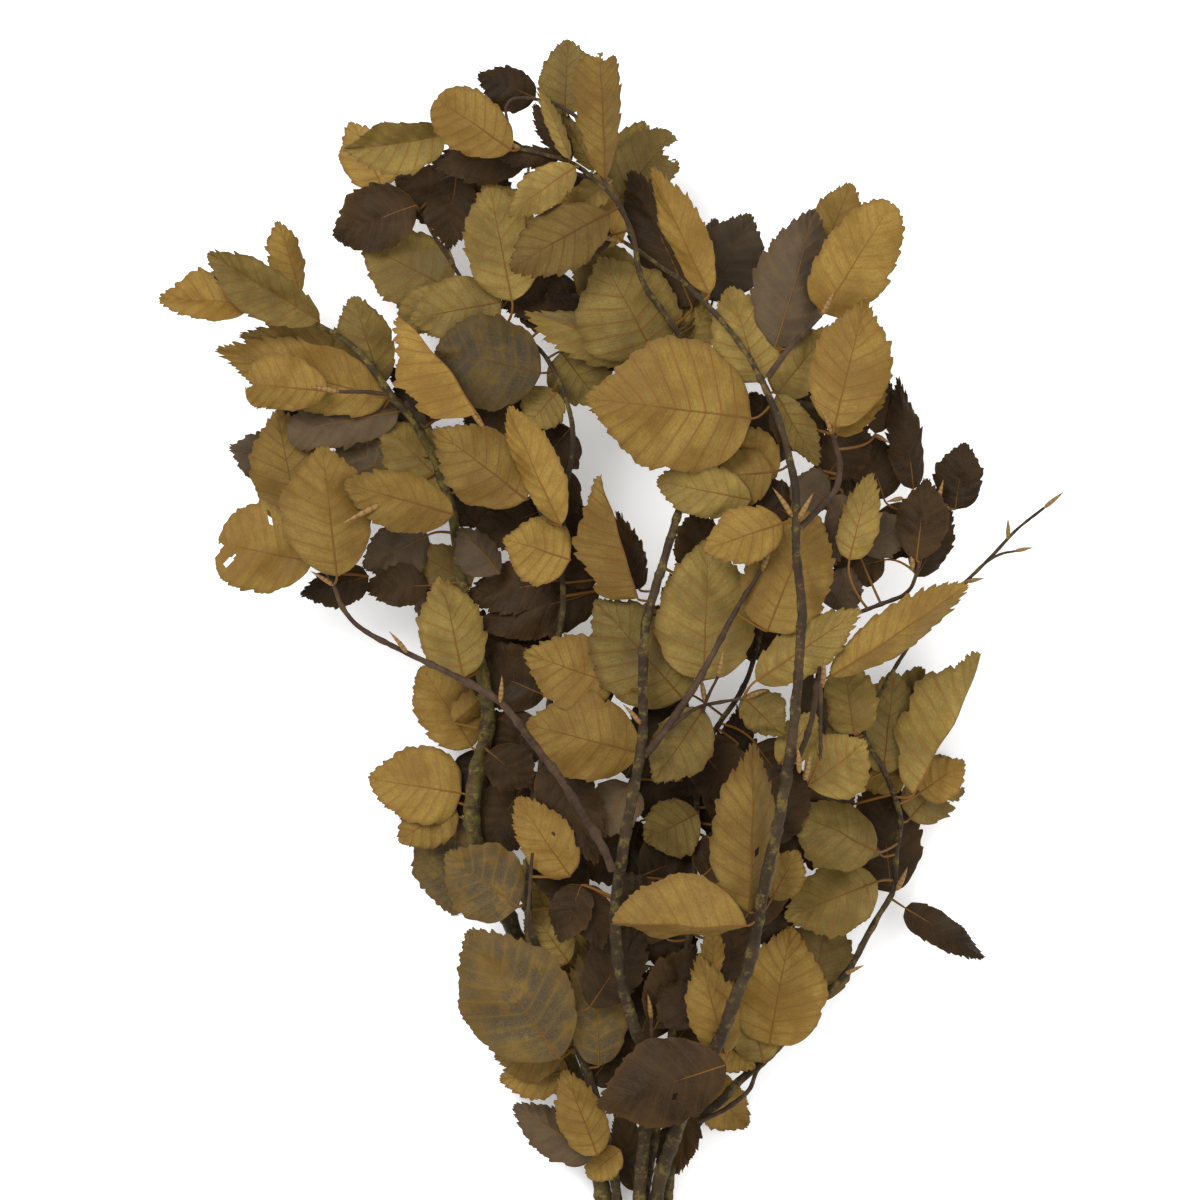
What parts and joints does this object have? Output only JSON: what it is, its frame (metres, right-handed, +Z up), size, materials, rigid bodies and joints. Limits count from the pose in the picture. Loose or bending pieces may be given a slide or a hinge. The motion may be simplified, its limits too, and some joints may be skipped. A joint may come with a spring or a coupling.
{
  "type": "preserved beech leaf bunch",
  "caption": "Bunch of cut beech branches in dry golden leaf, lying on its side; thin crooked twigs fan out from the cut ends.",
  "frame": {"origin": "on the surface the bunch lies on, under the centre of the whole bunch's box", "axes": "+Y along the bunch from the cut ends to the leafy tips, +Z up from the surface, +X to the right seen from above"},
  "size_m": [0.4891, 0.7326, 0.1419],
  "materials": {
    "bark": "rough brown-grey bark with lichen flecks",
    "mossy_bark": "rough bark under a thin coat of moss",
    "young_twig": "smooth young bark, satin",
    "leaf_ochre": "dry leaf, golden tan, satin",
    "leaf_olive": "dry leaf, olive brown, satin",
    "leaf_umber": "dry leaf, dark brown, satin",
    "leaf_grey": "dry leaf, grey brown, matt",
    "leaf_mottled": "dry leaf, blotched brown and grey, matt"
  },
  "bodies": {
    "root": {"branch_centre": "bark", "branch_inner_left": "bark", "branch_inner_right": "bark", "branch_left": "mossy_bark", "branch_low_right": "bark", "branch_right": "bark", "leaf_heart": "leaf_ochre", "leaf_left_1": "leaf_mottled", "leaf_left_10": "leaf_ochre", "leaf_left_11": "leaf_ochre", "leaf_left_2": "leaf_ochre", "leaf_left_3": "leaf_ochre", "leaf_left_4": "leaf_ochre", "leaf_left_5": "leaf_ochre", "leaf_left_6": "leaf_olive", "leaf_left_7": "leaf_ochre", "leaf_left_8": "leaf_ochre", "leaf_left_9": "leaf_ochre", "leaf_low_1": "leaf_ochre", "leaf_low_2": "leaf_ochre", "leaf_low_3": "leaf_umber", "leaf_low_4": "leaf_mottled", "leaf_low_5": "leaf_mottled", "leaf_low_6": "leaf_mottled", "leaf_low_7": "leaf_ochre", "leaf_middle_1": "leaf_ochre", "leaf_middle_2": "leaf_ochre", "leaf_middle_3": "leaf_olive", "leaf_middle_4": "leaf_olive", "leaf_middle_5": "leaf_ochre", "leaf_right_1": "leaf_ochre", "leaf_right_2": "leaf_olive", "leaf_right_3": "leaf_olive", "leaf_right_4": "leaf_olive", "leaf_right_5": "leaf_olive", "leaf_right_6": "leaf_umber", "leaf_right_7": "leaf_umber", "leaf_top_1": "leaf_ochre", "leaf_top_2": "leaf_olive", "leaf_top_3": "leaf_ochre", "leaf_top_4": "leaf_olive", "leaf_top_5": "leaf_ochre", "leaf_top_6": "leaf_ochre", "leaf_top_7": "leaf_ochre", "leaf_top_8": "leaf_umber", "leaf_top_9": "leaf_olive", "leaf_top_right_1": "leaf_ochre", "leaf_top_right_2": "leaf_ochre", "leaf_top_right_3": "leaf_olive", "leaf_top_right_4": "leaf_grey", "twig_centre_fork": "young_twig", "twig_far_right": "young_twig", "twig_left_inner": "young_twig", "twig_left_lower": "young_twig", "twig_left_upper": "young_twig", "twig_long_left": "young_twig", "twig_right_fork": "young_twig", "twig_top_hook": "young_twig", "twig_upper_right": "young_twig"}
  },
  "joints": []
}
